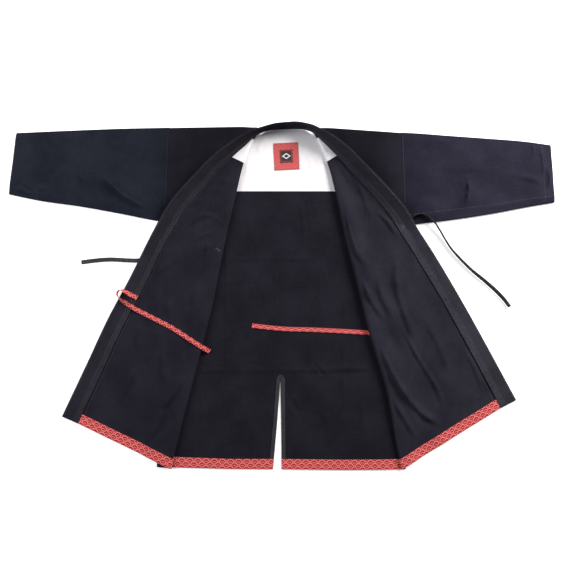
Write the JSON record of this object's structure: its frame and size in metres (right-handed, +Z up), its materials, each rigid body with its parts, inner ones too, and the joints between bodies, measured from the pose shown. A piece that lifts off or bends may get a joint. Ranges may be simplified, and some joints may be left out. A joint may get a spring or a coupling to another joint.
{
  "type": "kendo gi",
  "caption": "Cotton martial arts jacket laid on its back with both fronts turned open, with a stitched collar band, wave-patterned hem trim and flat ties.",
  "frame": {"origin": "on the centre line, on the underside of the back panel, near the middle of its length", "axes": "+X towards the right sleeve as seen from above, +Y from the hem to the neck, +Z up"},
  "size_m": [1.535, 0.952, 0.0571],
  "materials": {
    "cotton": "matt woven cotton, near black",
    "collar_cotton": "matt woven cotton, near black, with rows of stitches",
    "lining": "fine white cotton",
    "wave_cloth": "cotton printed with a traditional wave repeat",
    "tape": "matt cotton tape",
    "label": "woven label"
  },
  "bodies": {
    "root": {"back": "cotton", "front_left": "cotton", "front_right": "cotton", "sleeve_left": "cotton", "sleeve_right": "cotton", "collar_left": "collar_cotton", "collar_right": "collar_cotton", "lining_back": "lining", "lining_front_left": "lining", "lining_front_right": "lining", "neck_patch": "wave_cloth", "neck_label": "label", "hem_trim_back_left": "wave_cloth", "hem_trim_back_right": "wave_cloth", "hem_trim_front_left": "wave_cloth", "hem_trim_front_right": "wave_cloth", "vent_facing_left": "tape", "vent_facing_right": "tape", "tie_outer_left": "tape", "tie_outer_right": "tape", "tie_inner_left": "wave_cloth", "tie_inner_right": "wave_cloth"}
  },
  "joints": []
}
